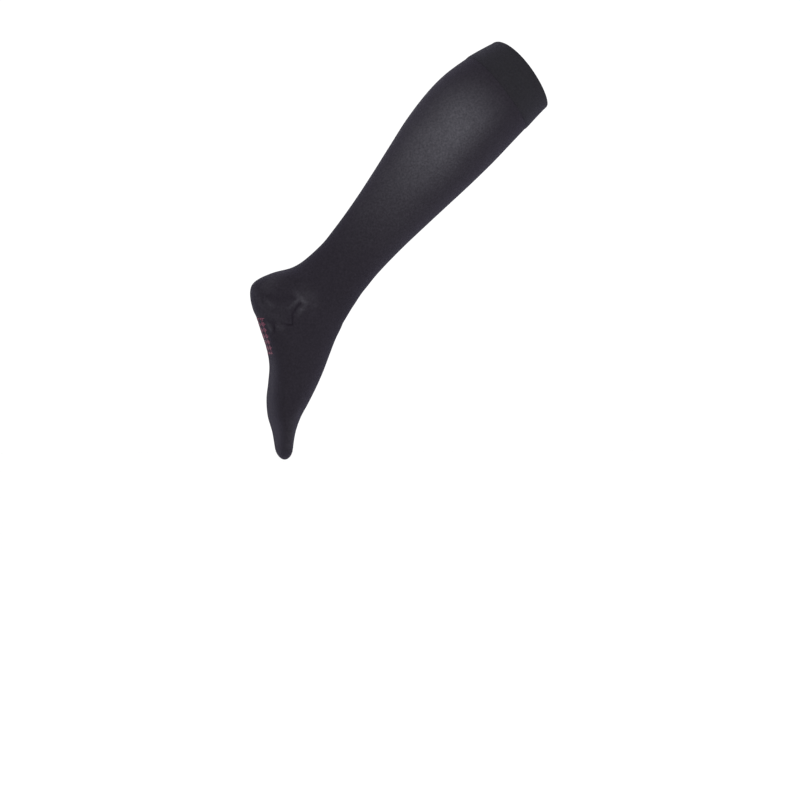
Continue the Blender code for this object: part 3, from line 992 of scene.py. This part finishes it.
tree, given, result = new_tree("linked seam", {
    "Path": "object", "Guide": "object", "Stitch": "object", "Spacing": "number", "Lift": "number",
    "Uneven": "number", "Finish": "material"})
line = add(tree, "GeometryNodeMeshToCurve", {"Mesh": shape_of(tree, given["Path"])})[0]
beads = add(tree, "GeometryNodeCurveToPoints", {"Curve": line, "Length": given["Spacing"]}, mode="LENGTH")
surface = {"Mesh": shape_of(tree, given["Guide"]), "Value": add(tree, "GeometryNodeInputNormal")[0]}
normal = add(tree, "GeometryNodeSampleNearestSurface", surface, data_type="FLOAT_VECTOR")["Value"]
turned = add(tree, "FunctionNodeAxesToRotation", {"Primary Axis": normal, "Secondary Axis": beads["Tangent"]},
             primary_axis="Z", secondary_axis="X")[0]
lift = scaled(tree, normal, given["Lift"])
points = add(tree, "GeometryNodeSetPosition", {"Geometry": beads["Points"], "Offset": lift})[0]
sizes = {"Min_001": maths(tree, "SUBTRACT", 1.0, given["Uneven"]), "Max_001": 1.0, "Seed": SEAM_SEED}
size = add(tree, "FunctionNodeRandomValue", sizes, data_type="FLOAT")[1]
feeds = {"Points": points, "Instance": shape_of(tree, given["Stitch"]), "Rotation": turned, "Scale": size}
end_tree(tree, add(tree, "GeometryNodeInstanceOnPoints", feeds)[0], given["Finish"], result)
seam_tree = tree
print("seam tree:", len(tree.nodes), "nodes")

# %% Seams
BAND_STITCH_SPACING, HEEL_STITCH_SPACING, TOE_STITCH_SPACING = 1.9 * MM, 1.5 * MM, 1.3 * MM
BAND_SEAM_BELOW, BAND_SEAM_STEP = 1.0 * MM, radians(2)
TOE_SEAM_RUN, TOE_SEAM_BOW, TOE_SEAM_TURN, TOE_SEAM_STEP = 568 * MM, 5 * MM, radians(88), radians(3)
SUNK, SUNK_DEEP = -0.08 * MM, -0.15 * MM
UNEVEN_STITCHES = 0.25

thread_finish = knit_finish("linking thread", bunched=(0.018, 0.016, 0.021, 1))


def front_seam(column):
    """The pocket's slanted front seam on one side, from its top corner to its bottom corner."""
    return [(run, drawn_turn(column, run)) for run in spaced(heel_top(column), heel_bottom(column), MM)]


def band_seam():
    """The linking seam just under the band's lower edge."""
    return [(band_edge(turn) + BAND_SEAM_BELOW, turn) for turn in spaced(-pi, pi, BAND_SEAM_STEP)]


def toe_seam():
    """The linking seam over the toes, a shallow arc on the instep side."""
    turns = spaced(TOE_SEAM_TURN, 2 * pi - TOE_SEAM_TURN, TOE_SEAM_STEP)
    return [(TOE_SEAM_RUN - TOE_SEAM_BOW * abs(cos(turn)), turn) for turn in turns]


SEAMS = (
    # name, places, stitch, spacing, lift
    ("band_seam", band_seam(), leaning_stitch, BAND_STITCH_SPACING, SUNK),
    ("heel_top_seam", edge_path(heel_top, heel_columns), leaning_stitch, HEEL_STITCH_SPACING, SUNK),
    ("heel_bottom_seam", edge_path(heel_bottom, heel_columns), leaning_stitch, HEEL_STITCH_SPACING, SUNK),
    ("heel_near_seam", front_seam(HEEL_TURN), cross_stitch, HEEL_STITCH_SPACING, SUNK_DEEP),
    ("heel_far_seam", front_seam(-HEEL_TURN), cross_stitch, HEEL_STITCH_SPACING, SUNK_DEEP),
    ("toe_linking", toe_seam(), leaning_stitch, TOE_STITCH_SPACING, 0.0),
)
seams = {}
for name, places, stitch, spacing, lift in SEAMS:
    path = path_on_form(name + " path", places)
    seams[name] = grow(name, seam_tree, Path=path, Guide=guide, Stitch=stitch, Spacing=spacing, Lift=lift,
                       Uneven=UNEVEN_STITCHES, Finish=thread_finish)
    bpy.data.objects.remove(path)

# %% [markdown]
# ## The pattern on the sole
#
# A few rows of dark red stitches are knitted into the sole just under the heel. Here they are small lozenges
# between dashes, in a chart like those that knitters draw: each cell of a grid is a stitch, and a rule says
# which cells are red. The tree makes the grid, keeps the red cells, carries them on to the sole with the
# guide, and sets a V of two grains of red yarn on each.

# %% Chart tree
def folded(tree, value, repeats):
    """0 in the middle of each repeat of the chart and 1 at its edges."""
    part = maths(tree, "FRACT", maths(tree, "ADD", maths(tree, "MULTIPLY", value, repeats), 0.5))
    return maths(tree, "MULTIPLY", maths(tree, "ABSOLUTE", maths(tree, "SUBTRACT", part, 0.5)), 2.0)


tree, given, result = new_tree("charted pattern", {
    "Guide": "object", "Stitch": "object", "Stitches": "count", "Rows": "count", "Wide": "number",
    "High": "number", "Share": "number", "Run": "number", "Repeat across": "number", "Repeat along": "number",
    "Fill": "number", "Lift": "number", "Finish": "material"})
chart, column, row = unit_grid(tree, given["Stitches"], given["Rows"])
across, along = folded(tree, column, given["Repeat across"]), folded(tree, row, given["Repeat along"])
plain = maths(tree, "GREATER_THAN", maths(tree, "ADD", across, along), given["Fill"])
chart = add(tree, "GeometryNodeDeleteGeometry", {"Geometry": chart, "Selection": plain})[0]

share = maths(tree, "ADD", maths(tree, "MULTIPLY", column, given["Wide"]), given["Share"])
run = maths(tree, "ADD", maths(tree, "MULTIPLY", row, given["High"]), given["Run"])
place = add(tree, "ShaderNodeCombineXYZ", {"X": share, "Y": run})[0]
further = add(tree, "ShaderNodeVectorMath", {0: place, 1: (0, MM, 0)}, operation="ADD")[0]
point, normal = on_guide(tree, given["Guide"], place)
next_point = on_guide(tree, given["Guide"], further)[0]
down = add(tree, "ShaderNodeVectorMath", {0: next_point, 1: point}, operation="SUBTRACT")[0]
turned = add(tree, "FunctionNodeAxesToRotation", {"Primary Axis": normal, "Secondary Axis": down},
             primary_axis="Z", secondary_axis="Y")[0]
chart = add(tree, "GeometryNodeStoreNamedAttribute", {"Geometry": chart, "Name": "turned", "Value": turned},
            data_type="QUATERNION", domain="POINT")[0]
lift = scaled(tree, normal, given["Lift"])
chart = add(tree, "GeometryNodeSetPosition", {"Geometry": chart, "Position": point, "Offset": lift})[0]
kept = add(tree, "GeometryNodeInputNamedAttribute", {"Name": "turned"}, data_type="QUATERNION")["Attribute"]
feeds = {"Points": chart, "Instance": shape_of(tree, given["Stitch"]), "Rotation": kept}
end_tree(tree, add(tree, "GeometryNodeInstanceOnPoints", feeds)[0], given["Finish"], result)
chart_tree = tree
print("chart tree:", len(tree.nodes), "nodes")

# %% Pattern on the sole
CHART_RUN, CHART_HIGH, CHART_WIDE = 436 * MM, 40 * MM, 37 * MM
CHART_STITCHES, CHART_ROWS = 37, 43
LOZENGES_ACROSS, LOZENGES_ALONG, LOZENGE_FILL = 3.0, 6.0, 0.92
RED_GRAIN, RED_APART, RED_LEAN = (0.24 * MM, 0.60 * MM, 0.20 * MM), 0.22 * MM, radians(24)
RED_YARN, RED_LIFT = (0.15, 0.036, 0.072, 1), 0.12 * MM

knit_v = stitch_of("knit v", RED_GRAIN, (RED_APART, -RED_LEAN), (-RED_APART, RED_LEAN))
red_finish = principled("red yarn", Base_Color=RED_YARN, Roughness=0.7, Sheen_Weight=0.2,
                        Specular_IOR_Level=0.2)[0]
sole_pattern = grow("sole_pattern", chart_tree, Guide=guide, Stitch=knit_v, Stitches=CHART_STITCHES,
                    Rows=CHART_ROWS, Wide=CHART_WIDE / girth(CHART_RUN), High=CHART_HIGH, Share=0.0,
                    Run=CHART_RUN, Repeat_across=LOZENGES_ACROSS, Repeat_along=LOZENGES_ALONG,
                    Fill=LOZENGE_FILL, Lift=RED_LIFT, Finish=red_finish)

# %% [markdown]
# ## Setting the pieces on the body
#
# The guide and the single stitches have done their work and go. Every piece rides on the stocking's one
# body, and the plain solids that it stands for are hidden. The table also lists each piece's slot for its
# finish and each cloth piece's cut, the size of what shows before the leg stretched it, but nothing reads
# them.

# %% Ride and replace
HELPERS = (guide, band_profile, leaning_stitch, cross_stitch, knit_v)
for thing in HELPERS:
    bpy.data.objects.remove(thing)

CLOTH = (
    # piece, nodes it stands for, slot, flat width and length, what lies on it
    (leg_and_foot, ("leg_calf", "leg_shin", "leg_ankle", "foot"), "leg_knit", (0.215, 0.440),
     [seams["band_seam"], sole_pattern]),
    (band, ("top_band",), "band_knit", (0.270, 0.039), []),
    (heel_pocket, ("heel_pocket",), "heel_knit", (0.100, 0.040),
     [seams[name] for name in ("heel_top_seam", "heel_bottom_seam", "heel_near_seam", "heel_far_seam")]),
    (toe, ("toe_cap",), "toe_knit", (0.150, 0.045), [seams["toe_linking"]]),
)
for piece, nodes, slot, flat, on_it in CLOTH:
    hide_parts(*nodes)
    for thing in [piece, *on_it]:
        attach(thing, "root")
    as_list(on_it)
